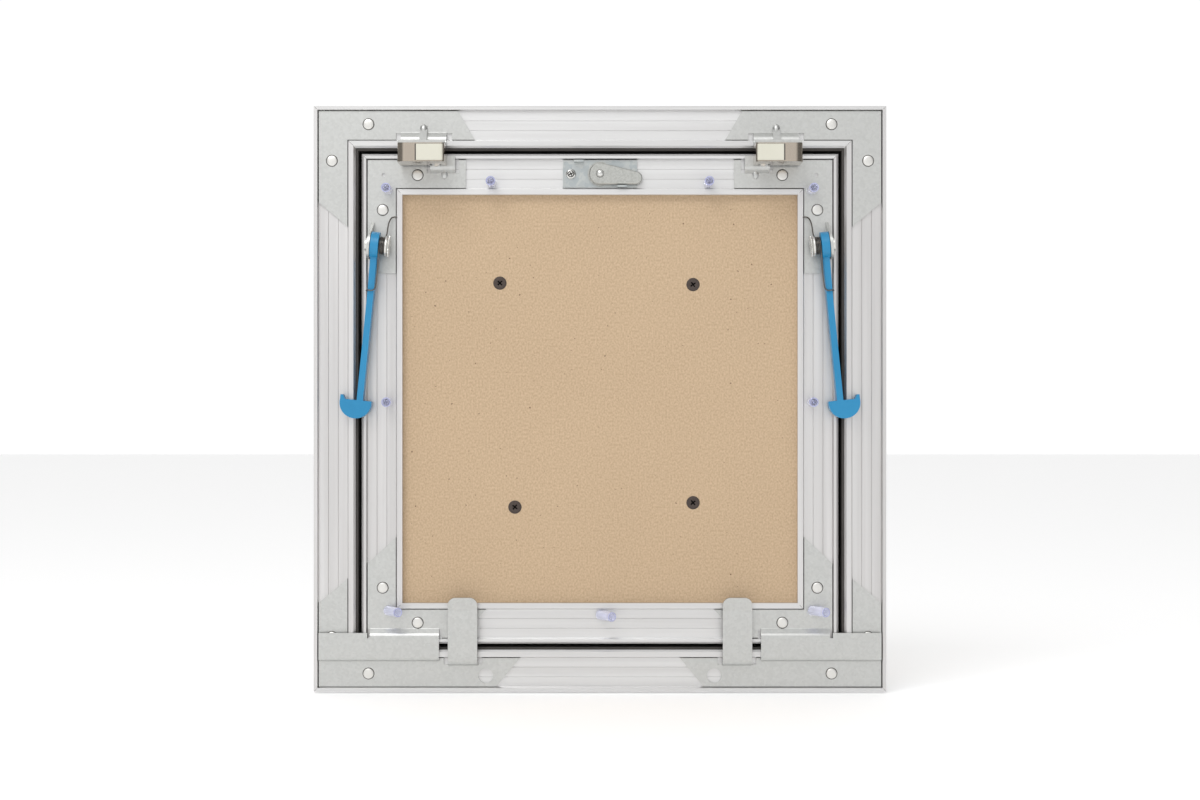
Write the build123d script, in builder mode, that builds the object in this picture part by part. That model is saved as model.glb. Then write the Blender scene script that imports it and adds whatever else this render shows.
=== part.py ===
from build123d import *
from math import asin, cos, pi, radians, sin, tan
import os

# Fire-rated access panel, seen from its rear, the side inside the wall.
# A mitred aluminium frame is screwed behind the wall board and carries a mitred
# aluminium leaf filled with two gypsum boards.  The origin is the centre of the
# frame's opening, in the plane where the frame's flange lies on the wall board.
# X runs to the right and Z up as seen from the rear, and Y runs towards the room.
# A "rise" is a height above the flange's front face, towards the rear, so y is -rise.

os.makedirs("parts", exist_ok=True)

# Clearances
seat_gap = 0.3
board_gap = 0.3
running_fit = 0.05
pin_fit = 0.05
seal_clearance = 0.4

# Frame and leaf
opening_width = 299.0
opening_height = 307.0
leaf_gap = 3.7
panel_depth = 25.0
metal = 1.5
web = 1.6
lip_rise = 4.5
lip_slope = 0.8
lip_bevel = 1.3
groove = 0.2
groove_spacing = 6.0
frame_rail_width = 25.6
frame_inner_lip = 5.1
frame_outer_lip = 3.0
leaf_rail_width = 24.9
leaf_outer_lip = 3.6
leaf_inner_lip = 4.1

# Seals
strip_thickness = 1.5
strip_front_margin = 0.5
strip_rear_rise = 2.5
leaf_seal_depth = 4.0
leaf_seal_margin = 1.0

# Gypsum boards and their screws
board_thickness = 12.5
board_screw_length = 22.0
board_screw_head = 8.2
board_screw_shank = 3.5
board_screw_cone = 3.2
board_screw_places = [(-61.4, 71.0), (57.1, 70.1), (-52.2, -66.4), (57.1, -63.7)]
face_screw_shank = 3.5
face_screw_head = 7.6
face_screw_cone = 3.0
face_screw_tip = 5.0
long_screw_rise = 10.0
short_screw_rise = 6.0
face_screw_inset = 12.5
top_corner_screw_inset = 18.2
top_screw_x = 66.4
top_screw_inset = 14.0
side_screw_z = -2.0
bottom_corner_screw_inset = 16.8
bottom_screw_inset = 14.0
tube_outer = 5.8
tube_bore = 4.4
tube_length = 15.0
tube_lean = 29.0

# Corner plates
bend_radius = 2.0
rivet_shank = 3.2
rivet_head = 6.4
rivet_head_rise = 0.9
frame_rivet_near = 8.0
frame_rivet_far = 30.4
leaf_rivet_near = 9.2
leaf_rivet_far = 30.6
frame_top_leg_across = 95.4
frame_top_leg_down = 70.6
frame_top_slant = 10.1
frame_leg_slant = 14.6
frame_bottom_leg_across = 123.2
frame_bottom_leg_up = 65.9
location_hole = 9.0
location_hole_across = 102.2
location_hole_up = 6.6
leaf_top_leg_across = 60.1
leaf_top_leg_down = 69.4
leaf_bottom_leg_across = 72.4
leaf_bottom_leg_up = 61.5
leaf_leg_slant = 16.0
pilot_hole = 2.4
pilot_hole_across = 9.8
pilot_hole_down = 9.2

# Tabs at the top: one on the frame for the latch, one on the leaf for its striker
latch_across = 64.3
latch_tab_above = 0.7
latch_tab_width = 27.8
latch_tab_rise = 27.0
tab_notch_width = 3.2
tab_notch_height = 3.9
gusset_width = 4.4
gusset_length = 7.0
gusset_foot = 4.8
striker_tab_width = 15.2
striker_tab_shift = 3.9
striker_tab_above_pin = 4.0
striker_notch_width = 2.2
striker_notch_height = 7.8
crank_length = 3.6

# Touch latches
latch_width = 28.4
latch_height = 11.3
latch_depth = 24.0
latch_sheet = 0.6
latch_nose_corner = 5.0
latch_edge_corner = 1.6
latch_foot_width = 20.0
latch_foot_depth = 13.0
latch_foot_height = 0.4
latch_rivet_spacing = 11.0
striker_slot_depth = 9.0
cover_width = 16.3
cover_corner = 1.2
cover_proud = 0.4
cover_thickness = 2.4
cover_flange = 0.8
plunger_depth = 12.0
plunger_travel = 3.0
striker_pin = 4.0
striker_pin_head = 5.4
striker_pin_length = 6.0
striker_pin_shift = 7.8
striker_pin_drop = 1.8
striker_crank_length = 3.0
mouth_width = 6.6
mouth_depth = 8.0
mouth_height = 7.6
latch_spring_wire = 0.7
latch_spring_diameter = 6.0
latch_spring_turns = 4

# Tongues and strips at the bottom
tongue_width = 17.9
tongue_across = 88.3
tongue_rise = 7.8
tongue_overlap = 8.0
tongue_flare_start = 0.2
tongue_flare = 1.2
tongue_corner = 4.6
tongue_notch_width = 2.8
tongue_notch_height = 3.9
strip_tongue_gap = 5.65
strip_end_gap = 0.2
strip_above_gap = 10.5
strip_below_gap = 6.9
strip_return = 1.0
strip_bend_radius = 0.9
strip_relief = 1.6
relief_slot_height = 5.1

# Cam lock
lock_sheet = 1.2
lock_plate_width = 45.4
lock_plate_rim = 0.5
lock_rim_width = 0.7
lock_screw_spacing = 35.6
lock_screw_head = 6.1
lock_screw_head_rise = 1.8
lock_screw_shank = 3.2
lock_screw_length = 12.0
barrel_diameter = 12.0
rosette_diameter = 17.0
rosette_thickness = 1.2
spindle_diameter = 8.0
key_square = 5.0
key_depth = 9.0
cam_hub = 13.2
cam_washer_diameter = 15.0
cam_washer_thickness = 0.8
cam_tip = 7.8
cam_length = 26.0
cam_thickness = 2.2
cam_edge = 0.5
cam_locked_lean = 26.0
cam_rivet_neck = 3.4
cam_rivet_head = 4.4
cam_rivet_rise = 0.8
stop_tab_width = 5.8
stop_tab_rise = 7.6
open_stop_x = 10.6

# Safety arms
arm_pivot_across = 5.6
arm_pivot_down = 52.8
arm_pivot_rise = 13.5
arm_lean = 5.7
arm_hub = 16.0
arm_hub_width = 4.9
arm_blade_width = 3.8
arm_blade_depth = 8.0
arm_front_rise = 5.1
hook_drop = 94.8
hook_height = 11.2
hook_outward = 12.0
hook_inward = 7.0
claw_width = 3.0
claw_height = 2.6
arm_pin = 5.0
arm_pin_tail = 8.0
arm_pin_tail_rise = 1.6
arm_pin_head = 12.2
arm_pin_head_rise = 1.8
arm_tab_thickness = 1.6
arm_tab_foot = 23.0
arm_tab_foot_shift = -3.0
arm_tab_top = 17.0
spring_wire = 0.8
spring_mean = 9.6
spring_turns = 3.25
spring_room = 3.7
spring_clip_drop = 27.6
spring_anchor_inset = 0.8
spring_anchor_up = 17.2

# Worked out from the sizes above
half_width = opening_width / 2
half_height = opening_height / 2
leaf_half_width = half_width - leaf_gap
leaf_half_height = half_height - leaf_gap
plate_top_rise = 2 * metal
strip_front_rise = lip_rise + seat_gap
frame_outer_x = half_width + frame_rail_width - frame_outer_lip
frame_inner_x = half_width + frame_inner_lip
frame_outer_z = half_height + frame_rail_width - frame_outer_lip
frame_inner_z = half_height + frame_inner_lip
leaf_outer_x = leaf_half_width - leaf_outer_lip
leaf_inner_x = leaf_half_width - leaf_rail_width + leaf_inner_lip
leaf_outer_z = leaf_half_height - leaf_outer_lip
leaf_inner_z = leaf_half_height - leaf_rail_width + leaf_inner_lip
rivet_hole = rivet_shank + 2 * pin_fit
face_screw_x = leaf_outer_x - face_screw_inset
latch_centre = frame_outer_x - latch_across
striker_pin_x = latch_centre - striker_pin_shift
striker_pin_z = leaf_outer_z - striker_pin_drop
striker_tab_centre = striker_pin_x - striker_tab_shift
striker_tab_top = striker_pin_z + striker_tab_above_pin
tongue_centre = frame_outer_x - tongue_across
tongue_top = -leaf_inner_z + tongue_overlap
strip_inner_x = tongue_centre + tongue_width / 2 + strip_tongue_gap
strip_outer_x = frame_outer_x - strip_end_gap
strip_top = -half_height + strip_above_gap
strip_bottom = -half_height - strip_below_gap
lock_height = (leaf_outer_z + leaf_inner_z) / 2
arm_pivot_x = leaf_outer_x - arm_pivot_across
arm_pivot_z = leaf_outer_z - arm_pivot_down
center_low = (Align.CENTER, Align.CENTER, Align.MIN)


def corner_places(outer_x, outer_z, near, far):
    """Two rivets on each of four corner plates, one on each leg."""
    legs = [(outer_x - far, outer_z - near), (outer_x - near, outer_z - far)]
    return [(sx * x, sz * z) for sx in (-1, 1) for sz in (-1, 1) for x, z in legs]


frame_rivet_places = corner_places(frame_outer_x, frame_outer_z, frame_rivet_near, frame_rivet_far)
leaf_rivet_places = corner_places(leaf_outer_x, leaf_outer_z, leaf_rivet_near, leaf_rivet_far)
top_corner_screw_z = leaf_outer_z - top_corner_screw_inset
bottom_corner_screw_z = -leaf_outer_z + bottom_corner_screw_inset
straight_on_plate = [(-face_screw_x, top_corner_screw_z), (face_screw_x, top_corner_screw_z)]
straight_on_rail = [
    (-top_screw_x, leaf_outer_z - top_screw_inset),
    (top_screw_x, leaf_outer_z - top_screw_inset),
    (-face_screw_x, side_screw_z),
    (face_screw_x, side_screw_z),
]
leaning_on_plate = [(-face_screw_x, bottom_corner_screw_z), (face_screw_x, bottom_corner_screw_z)]
leaning_on_rail = [(0, -leaf_outer_z + bottom_screw_inset)]
long_screw_places = straight_on_plate + straight_on_rail
face_screw_places = long_screw_places + leaning_on_plate + leaning_on_rail
lock_screw_places = [(-lock_screw_spacing / 2, lock_height), (lock_screw_spacing / 2, lock_height)]
lock_centre = [(0, lock_height)]


def rear(rise):
    """The plane parallel to the wall at this rise, facing the rear."""
    return Plane.XZ.offset(rise)


def rear_places(places, rise):
    return [Plane(origin=(x, -rise, z), x_dir=(1, 0, 0), z_dir=(0, -1, 0)) for x, z in places]


def rods(places, diameter, low, high, mode=Mode.ADD):
    """Round bars, or holes, along Y between two rises."""
    with Locations(*rear_places(places, low)):
        Cylinder(diameter / 2, high - low, align=center_low, mode=mode)


def cones(places, low_diameter, high_diameter, low, high, mode=Mode.ADD):
    with Locations(*rear_places(places, low)):
        Cone(low_diameter / 2, high_diameter / 2, high - low, align=center_low, mode=mode)


def slab(x_low, x_high, z_low, z_high, low, high, mode=Mode.ADD):
    """Rectangle seen from the rear, between two rises."""
    with BuildSketch(rear(low)) as outline:
        with Locations(((x_low + x_high) / 2, (z_low + z_high) / 2)):
            Rectangle(x_high - x_low, z_high - z_low)
    extrude(outline.sketch, amount=high - low, mode=mode)


def save(piece, label):
    piece.part.label = label
    export_step(piece.part, "parts/" + label + ".step")


def save_pair(left, label):
    """Write the left piece, and its mirror image for the right."""
    save(left, label + "_left")
    with BuildPart() as right:
        mirror(left.part, about=Plane.YZ)
    save(right, label + "_right")


# Mitred rails
def rail_section(width, web_lip, far_lip):
    """Outline of an extrusion: distance from the web's face, and rise."""
    left_groove = (web_lip + width - far_lip - groove_spacing) / 2
    right_groove = left_groove + groove_spacing
    Polyline(
        (0, -panel_depth),
        (web, -panel_depth),
        (web, 0),
        (width, 0),
        (width, lip_rise),
        (width - far_lip + lip_slope, lip_rise),
        (width - far_lip, metal),
        (right_groove + groove, metal),
        (right_groove, metal - groove),
        (right_groove - groove, metal),
        (left_groove + groove, metal),
        (left_groove, metal - groove),
        (left_groove - groove, metal),
        (web_lip, metal),
        (web_lip - lip_slope, lip_rise),
        (lip_bevel, lip_rise),
        (0, lip_rise - lip_bevel),
        close=True,
    )


def mitred_rail(side, half_across, half_along, spreads, width, web_lip, far_lip):
    """Rail on one side of a rectangle, widening outwards (spreads 1) or inwards (spreads -1)."""
    out = Vector(*side)
    across = out * spreads
    along = across.cross(Vector(0, -1, 0))
    edge = out * half_across
    with BuildSketch(Plane(origin=edge, x_dir=across, z_dir=along)) as section:
        with BuildLine():
            rail_section(width, web_lip, far_lip)
        make_face()
    extrude(section.sketch, amount=half_along + width, both=True)
    for end in (-1, 1):
        corner = edge + along * (end * half_along)
        split(bisect_by=Plane(origin=corner, z_dir=along * end - out), keep=Keep.BOTTOM)


sides = {
    "top": ((0, 0, 1), half_height, half_width),
    "bottom": ((0, 0, -1), half_height, half_width),
    "left": ((-1, 0, 0), half_width, half_height),
    "right": ((1, 0, 0), half_width, half_height),
}
for name, (side, half_across, half_along) in sides.items():
    with BuildPart() as frame_rail:
        mitred_rail(side, half_across, half_along, 1,
                    frame_rail_width, frame_inner_lip, frame_outer_lip)
        rods(frame_rivet_places, rivet_hole, -metal, 2 * metal, Mode.SUBTRACT)
    save(frame_rail, "frame_rail_" + name)

    with BuildPart() as leaf_rail:
        mitred_rail(side, half_across - leaf_gap, half_along - leaf_gap, -1,
                    leaf_rail_width, leaf_outer_lip, leaf_inner_lip)
        rods(leaf_rivet_places, rivet_hole, -metal, 2 * metal, Mode.SUBTRACT)
        rods(face_screw_places, face_screw_shank + 2 * pin_fit, -metal, 2 * metal, Mode.SUBTRACT)
        rods(lock_screw_places, lock_screw_shank + 2 * pin_fit, -metal, 2 * metal, Mode.SUBTRACT)
        rods(lock_centre, barrel_diameter + 2 * pin_fit, -metal, 2 * metal, Mode.SUBTRACT)
    save(leaf_rail, "leaf_rail_" + name)


# Bent sheet metal, drawn in the YZ plane as points of z and rise
def bent_sheet(points, radii, x_low, x_high):
    """Sheet whose front face follows the points, which run downwards, and ends one metal behind."""
    with BuildSketch(Plane(origin=(x_low, 0, 0), x_dir=(0, 0, 1), z_dir=(1, 0, 0))) as section:
        with BuildLine():
            FilletPolyline(*points, radius=radii)
            offset(amount=metal, side=Side.RIGHT)
        make_face()
    extrude(section.sketch, amount=x_high - x_low)


# Frame corner plates, top: a square tab carries the touch latch
latch_tab_z = half_height + latch_tab_above
latch_tab_low = -latch_centre - latch_tab_width / 2
latch_tab_high = -latch_centre + latch_tab_width / 2
tab_root_z = frame_inner_z + tab_notch_height
tab_level_z = tab_root_z - crank_length
latch_top_z = latch_tab_z - latch_foot_height
latch_low_z = latch_top_z - latch_height
latch_low_x = -latch_centre - latch_width / 2
latch_high_x = -latch_centre + latch_width / 2
latch_front_rise = strip_front_rise + metal + seat_gap
latch_rear_rise = latch_front_rise + latch_depth
latch_middle_rise = (latch_front_rise + latch_rear_rise) / 2
latch_rivet_x = [-latch_centre - latch_rivet_spacing / 2, -latch_centre + latch_rivet_spacing / 2]


def upright_rods(diameter, low_z, high_z, mode=Mode.ADD):
    """The two bars, or holes, along Z that hold a latch under its tab."""
    with Locations(*[(x, -latch_middle_rise, low_z) for x in latch_rivet_x]):
        Cylinder(diameter / 2, high_z - low_z, align=center_low, mode=mode)


with BuildPart() as frame_top_plate:
    with BuildSketch(rear(metal)):
        with BuildLine():
            Polyline(
                (-frame_outer_x, frame_outer_z),
                (-frame_outer_x + frame_top_leg_across - frame_top_slant, frame_outer_z),
                (-frame_outer_x + frame_top_leg_across, frame_inner_z),
                (-frame_inner_x, frame_inner_z),
                (-frame_inner_x, frame_outer_z - frame_top_leg_down),
                (-frame_outer_x, frame_outer_z - frame_top_leg_down + frame_leg_slant),
                close=True,
            )
        make_face()
    extrude(amount=metal)
    slab(latch_tab_low - tab_notch_width, latch_tab_high + tab_notch_width,
         frame_inner_z - metal, tab_root_z, 0, 3 * metal, Mode.SUBTRACT)
    bent_sheet(
        [
            (tab_root_z + 2 * metal, metal),
            (tab_root_z, metal),
            (tab_level_z, strip_front_rise),
            (latch_tab_z, strip_front_rise),
            (latch_tab_z, latch_tab_rise),
        ],
        [bend_radius, bend_radius, bend_radius + metal], latch_tab_low, latch_tab_high)
    with BuildSketch(Plane(origin=(-latch_centre - gusset_width / 2, 0, 0),
                           x_dir=(0, 0, 1), z_dir=(1, 0, 0))):
        with BuildLine():
            Polyline(
                (latch_tab_z + metal / 2, strip_front_rise + metal),
                (tab_level_z, strip_front_rise + metal / 2),
                (tab_root_z, plate_top_rise - metal / 2),
                (tab_root_z + gusset_foot, plate_top_rise),
                (latch_tab_z + metal, strip_front_rise + metal + gusset_length),
                (latch_tab_z + metal / 2, strip_front_rise + metal + gusset_length),
                close=True,
            )
        make_face()
    extrude(amount=gusset_width)
    rods(frame_rivet_places, rivet_hole, 0, 3 * metal, Mode.SUBTRACT)
    upright_rods(rivet_hole, latch_tab_z - metal, latch_tab_z + 2 * metal, Mode.SUBTRACT)
save_pair(frame_top_plate, "frame_plate_top")

# Frame corner plates, bottom: a tongue stands behind the leaf's lower rail
tongue_low = -tongue_centre - tongue_width / 2
tongue_high = -tongue_centre + tongue_width / 2
tongue_root_z = -frame_inner_z - tongue_notch_height
with BuildPart() as tongue:
    bent_sheet(
        [
            (tongue_top, tongue_rise + tongue_flare),
            (-leaf_inner_z + tongue_flare_start, tongue_rise),
            (tongue_root_z + metal, tongue_rise),
            (tongue_root_z + metal / 2, metal),
            (tongue_root_z - 2 * metal, metal),
        ],
        bend_radius, tongue_low, tongue_high)
    tip = tongue.faces().sort_by(Axis.Z)[-1]
    fillet(tip.edges().filter_by(Axis.X, reverse=True), radius=tongue_corner)
with BuildPart() as frame_bottom_plate:
    with BuildSketch(rear(metal)):
        with BuildLine():
            Polyline(
                (-frame_outer_x, -frame_outer_z),
                (-frame_outer_x + frame_bottom_leg_across - frame_leg_slant, -frame_outer_z),
                (-frame_outer_x + frame_bottom_leg_across, -frame_inner_z),
                (-frame_inner_x, -frame_inner_z),
                (-frame_inner_x, -frame_outer_z + frame_bottom_leg_up),
                (-frame_outer_x, -frame_outer_z + frame_bottom_leg_up - frame_leg_slant),
                close=True,
            )
        make_face()
    extrude(amount=metal)
    slab(tongue_low - tongue_notch_width, tongue_high + tongue_notch_width,
         tongue_root_z, -frame_inner_z + metal, 0, 3 * metal, Mode.SUBTRACT)
    add(tongue.part)
    rods(frame_rivet_places, rivet_hole, 0, 3 * metal, Mode.SUBTRACT)
    rods([(-frame_outer_x + location_hole_across, -frame_outer_z + location_hole_up)],
         location_hole, 0, 3 * metal, Mode.SUBTRACT)
save_pair(frame_bottom_plate, "frame_plate_bottom")

# The safety arm turns on a pin that leans with the arm: x inwards along the pin, y up the arm
lean = radians(arm_lean)
pin_axis = Vector(cos(lean), 0, -sin(lean))
arm_pivot = Vector(-arm_pivot_x, -arm_pivot_rise, arm_pivot_z)


def across_pin(inwards):
    """Plane across the pin: local x is rearwards, local y is down the arm."""
    return Plane(origin=arm_pivot + pin_axis * inwards, x_dir=(0, -1, 0), z_dir=pin_axis)


def pin_rod(diameter, low, high, mode=Mode.ADD):
    with BuildSketch(across_pin(low)) as circle:
        Circle(diameter / 2)
    extrude(circle.sketch, amount=high - low, mode=mode)


arm_side = arm_hub_width / 2
arm_tab_high = -arm_side - seat_gap
arm_tab_low = arm_tab_high - arm_tab_thickness

# Leaf corner plates, top: a cranked tab holds the striker, an upright one holds the safety arm
striker_tab_low = -striker_tab_centre - striker_tab_width / 2
striker_tab_high = -striker_tab_centre + striker_tab_width / 2
striker_root_z = leaf_outer_z - striker_notch_height
with BuildPart() as leaf_top_plate:
    with BuildSketch(rear(metal)):
        with BuildLine():
            Polyline(
                (-leaf_outer_x, leaf_outer_z),
                (-leaf_outer_x + leaf_top_leg_across, leaf_outer_z),
                (-leaf_outer_x + leaf_top_leg_across, leaf_inner_z),
                (-leaf_inner_x, leaf_inner_z),
                (-leaf_inner_x, leaf_outer_z - leaf_top_leg_down),
                (-leaf_outer_x, leaf_outer_z - leaf_top_leg_down),
                close=True,
            )
        make_face()
    extrude(amount=metal)
    slab(striker_tab_low - striker_notch_width, striker_tab_high + striker_notch_width,
         striker_root_z, leaf_outer_z + metal, 0, 3 * metal, Mode.SUBTRACT)
    bent_sheet(
        [
            (striker_tab_top, strip_front_rise),
            (striker_root_z + striker_crank_length, strip_front_rise),
            (striker_root_z, metal),
            (striker_root_z - 2 * metal, metal),
        ],
        bend_radius, striker_tab_low, striker_tab_high)
    with BuildSketch(across_pin(arm_tab_low)):
        with Locations((1.5 * metal - arm_pivot_rise, arm_tab_foot_shift)):
            Rectangle(metal, arm_tab_foot)
        Circle(arm_tab_top / 2)
        make_hull()
    extrude(amount=arm_tab_thickness)
    pin_rod(arm_pin + 2 * pin_fit, arm_tab_low - metal, arm_tab_high + metal, Mode.SUBTRACT)
    rods(leaf_rivet_places, rivet_hole, 0, 3 * metal, Mode.SUBTRACT)
    rods(straight_on_plate, face_screw_shank + 2 * pin_fit, 0, 3 * metal, Mode.SUBTRACT)
    rods([(-leaf_outer_x + pilot_hole_across, leaf_outer_z - pilot_hole_down)],
         pilot_hole, 0, 3 * metal, Mode.SUBTRACT)
    rods([(-striker_pin_x, striker_pin_z)], striker_pin + 2 * pin_fit,
         lip_rise, lip_rise + 3 * metal, Mode.SUBTRACT)
save_pair(leaf_top_plate, "leaf_plate_top")

# Leaf corner plates, bottom: a cranked strip runs out behind the frame and hooks its lower lip
strip_root_z = -leaf_outer_z + relief_slot_height
strip_level_z = strip_root_z - crank_length
strip_fold = [(strip_bottom + metal, strip_front_rise), (strip_bottom + metal, strip_front_rise - strip_return)]
with BuildPart() as leaf_bottom_plate:
    with BuildSketch(rear(metal)):
        with BuildLine():
            Polyline(
                (-leaf_outer_x, -leaf_outer_z),
                (-leaf_outer_x + leaf_bottom_leg_across - leaf_leg_slant, -leaf_outer_z),
                (-leaf_outer_x + leaf_bottom_leg_across, -leaf_inner_z),
                (-leaf_inner_x, -leaf_inner_z),
                (-leaf_inner_x, -leaf_outer_z + leaf_bottom_leg_up),
                (-leaf_outer_x, -leaf_outer_z + leaf_bottom_leg_up - leaf_leg_slant),
                close=True,
            )
        make_face()
    extrude(amount=metal)
    slab(-leaf_outer_x - metal, -strip_inner_x + strip_relief,
         -leaf_outer_z - metal, strip_root_z, 0, 3 * metal, Mode.SUBTRACT)
    bent_sheet(
        [
            (strip_root_z + 2 * metal, metal),
            (strip_root_z, metal),
            (strip_level_z, strip_front_rise),
            (-leaf_outer_z, strip_front_rise),
        ],
        bend_radius, -leaf_outer_x + strip_relief, -strip_inner_x)
    bent_sheet([(-leaf_outer_z, strip_front_rise)] + strip_fold, strip_bend_radius,
               -strip_outer_x, -strip_inner_x)
    slab(-strip_outer_x, -leaf_outer_x, -leaf_outer_z - metal, strip_top,
         strip_front_rise, strip_front_rise + metal)
    rods(leaf_rivet_places, rivet_hole, 0, 3 * metal, Mode.SUBTRACT)
    rods(leaning_on_plate, face_screw_shank + 2 * pin_fit, 0, 3 * metal, Mode.SUBTRACT)
save_pair(leaf_bottom_plate, "leaf_plate_bottom")

# Clinch rivets that hold the corner plates on the rails
for name, places in (("frame", frame_rivet_places), ("leaf", leaf_rivet_places)):
    with BuildPart() as rivets:
        rods(places, rivet_shank, 0, plate_top_rise)
        cones(places, rivet_head, rivet_head - rivet_head_rise,
              plate_top_rise, plate_top_rise + rivet_head_rise)
    save(rivets, name + "_plate_rivets")

# Intumescent strips on the frame's web, and the smoke seal round the leaf's front edge
strip_front = -panel_depth + strip_front_margin
with BuildPart() as fire_strips:
    inside_x = half_width - strip_thickness
    inside_z = half_height - strip_thickness
    for end in (-1, 1):
        slab(end * (half_width + inside_x) / 2 - strip_thickness / 2,
             end * (half_width + inside_x) / 2 + strip_thickness / 2,
             -half_height, half_height, strip_front, strip_rear_rise)
        slab(-inside_x, inside_x,
             end * (half_height + inside_z) / 2 - strip_thickness / 2,
             end * (half_height + inside_z) / 2 + strip_thickness / 2,
             strip_front, strip_rear_rise)
save(fire_strips, "frame_fire_strips")

seal_thickness = leaf_gap - strip_thickness - seal_clearance
with BuildPart() as smoke_seal:
    with BuildSketch(rear(-panel_depth + leaf_seal_margin)):
        Rectangle(2 * (leaf_half_width + seal_thickness), 2 * (leaf_half_height + seal_thickness))
        Rectangle(2 * leaf_half_width, 2 * leaf_half_height, mode=Mode.SUBTRACT)
    extrude(amount=leaf_seal_depth)
save(smoke_seal, "leaf_smoke_seal")

# Two gypsum boards, drilled for their screws and for the lock
board_width = 2 * (leaf_half_width - web - board_gap)
board_height = 2 * (leaf_half_height - web - board_gap)
board_screw_end = -board_screw_length
with BuildPart() as rear_board:
    with BuildSketch(rear(-board_thickness)):
        Rectangle(board_width, board_height)
    extrude(amount=board_thickness)
    rods(board_screw_places, board_screw_shank + 2 * pin_fit, -board_thickness, 0, Mode.SUBTRACT)
    cones(board_screw_places, board_screw_shank, board_screw_head + 2 * pin_fit,
          -board_screw_cone - pin_fit, 0, Mode.SUBTRACT)
    rods(face_screw_places, face_screw_shank + 2 * pin_fit, -board_thickness, 0, Mode.SUBTRACT)
    rods(lock_screw_places, lock_screw_shank + 2 * pin_fit, -board_thickness, 0, Mode.SUBTRACT)
    rods(lock_centre, barrel_diameter + 2 * pin_fit, -board_thickness, 0, Mode.SUBTRACT)
save(rear_board, "rear_board")

with BuildPart() as front_board:
    with BuildSketch(rear(-panel_depth)):
        Rectangle(board_width, board_height)
    extrude(amount=panel_depth - board_thickness)
    rods(board_screw_places, board_screw_shank + 2 * pin_fit,
         board_screw_end - pin_fit, -board_thickness, Mode.SUBTRACT)
    rods(face_screw_places, face_screw_shank + 2 * pin_fit, -panel_depth, -board_thickness, Mode.SUBTRACT)
    cones(face_screw_places, face_screw_head + 2 * pin_fit, face_screw_shank,
          -panel_depth, -panel_depth + face_screw_cone + pin_fit, Mode.SUBTRACT)
    rods(lock_centre, barrel_diameter + 2 * pin_fit, -panel_depth, -board_thickness, Mode.SUBTRACT)
save(front_board, "front_board")

# Screws that join the boards from the rear
with BuildPart() as board_screws:
    cones(board_screw_places, board_screw_shank, board_screw_head, -board_screw_cone, 0)
    rods(board_screw_places, board_screw_shank, board_screw_end + board_screw_shank, -board_screw_cone)
    cones(board_screw_places, 0, board_screw_shank, board_screw_end, board_screw_end + board_screw_shank)
save(board_screws, "board_screws")

# Screws from the room side, through both boards and the leaf's flange, in clear tubes
with BuildPart() as face_screws:
    cones(face_screw_places, face_screw_head, face_screw_shank,
          -panel_depth, -panel_depth + face_screw_cone)
    for places, point in ((long_screw_places, long_screw_rise),
                          (leaning_on_plate + leaning_on_rail, short_screw_rise)):
        rods(places, face_screw_shank, -panel_depth + face_screw_cone, point - face_screw_tip)
        cones(places, face_screw_shank, 0, point - face_screw_tip, point)
save(face_screws, "face_screws")

tube_tilt = radians(tube_lean)
with BuildPart() as screw_tubes:
    for places, seat in ((straight_on_plate, plate_top_rise), (straight_on_rail, metal)):
        rods(places, tube_outer, seat, seat + tube_length)
        rods(places, tube_bore, seat, seat + tube_length, Mode.SUBTRACT)
    for places, seat in ((leaning_on_plate, plate_top_rise), (leaning_on_rail, metal)):
        foot_rise = seat + tube_outer / 2 * sin(tube_tilt)
        for x, z in places:
            with BuildSketch(Plane(origin=(x, -foot_rise, z), x_dir=(0, 0, 1),
                                   z_dir=(sin(tube_tilt), -cos(tube_tilt), 0))):
                Circle(tube_outer / 2)
                Circle(tube_bore / 2, mode=Mode.SUBTRACT)
            extrude(amount=tube_length)
save(screw_tubes, "screw_tip_tubes")

# Cam lock: plate with its stop tabs, barrel, spindle, washer and lever
lock_plate_half = lock_plate_width / 2
lock_low_z = leaf_inner_z + seat_gap
lock_high_z = leaf_outer_z - seat_gap
lock_plate_top = metal + lock_sheet
washer_top = lock_plate_top + cam_washer_thickness
lever_rise = strip_front_rise + seat_gap
lever_top = lever_rise + cam_thickness
tip_reach = cam_length - cam_tip / 2
edge_taper = asin((cam_hub - cam_tip) / 2 / tip_reach)
open_lean = pi / 2 + edge_taper
edge_lean = radians(cam_locked_lean) - edge_taper
stop_height = lock_high_z - lock_height
locked_stop_x = -stop_height * tan(edge_lean) - cam_hub / 2 / cos(edge_lean) - seat_gap
with BuildPart() as lock_plate:
    slab(-lock_plate_half, lock_plate_half, lock_low_z, lock_high_z, metal, lock_plate_top + lock_plate_rim)
    slab(-lock_plate_half + lock_rim_width, lock_plate_half - lock_rim_width,
         lock_low_z + lock_rim_width, lock_high_z - lock_rim_width,
         lock_plate_top, lock_plate_top + lock_plate_rim, Mode.SUBTRACT)
    for x_low, x_high, z_low, z_high in (
        (locked_stop_x - stop_tab_width, locked_stop_x, lock_high_z - lock_sheet, lock_high_z),
        (open_stop_x, open_stop_x + stop_tab_width, lock_low_z, lock_low_z + lock_sheet),
    ):
        slab(x_low - lock_rim_width, x_high + lock_rim_width,
             min(z_low, lock_high_z - 2 * lock_sheet), max(z_high, lock_low_z + 2 * lock_sheet),
             lock_plate_top, lock_plate_top + lock_plate_rim, Mode.SUBTRACT)
        slab(x_low, x_high, z_low, z_high, metal, stop_tab_rise)
    rods(lock_screw_places, lock_screw_shank + 2 * pin_fit, 0, 3 * metal, Mode.SUBTRACT)
    rods(lock_centre, spindle_diameter + 2 * running_fit, 0, 3 * metal, Mode.SUBTRACT)
save(lock_plate, "lock_plate")

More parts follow.
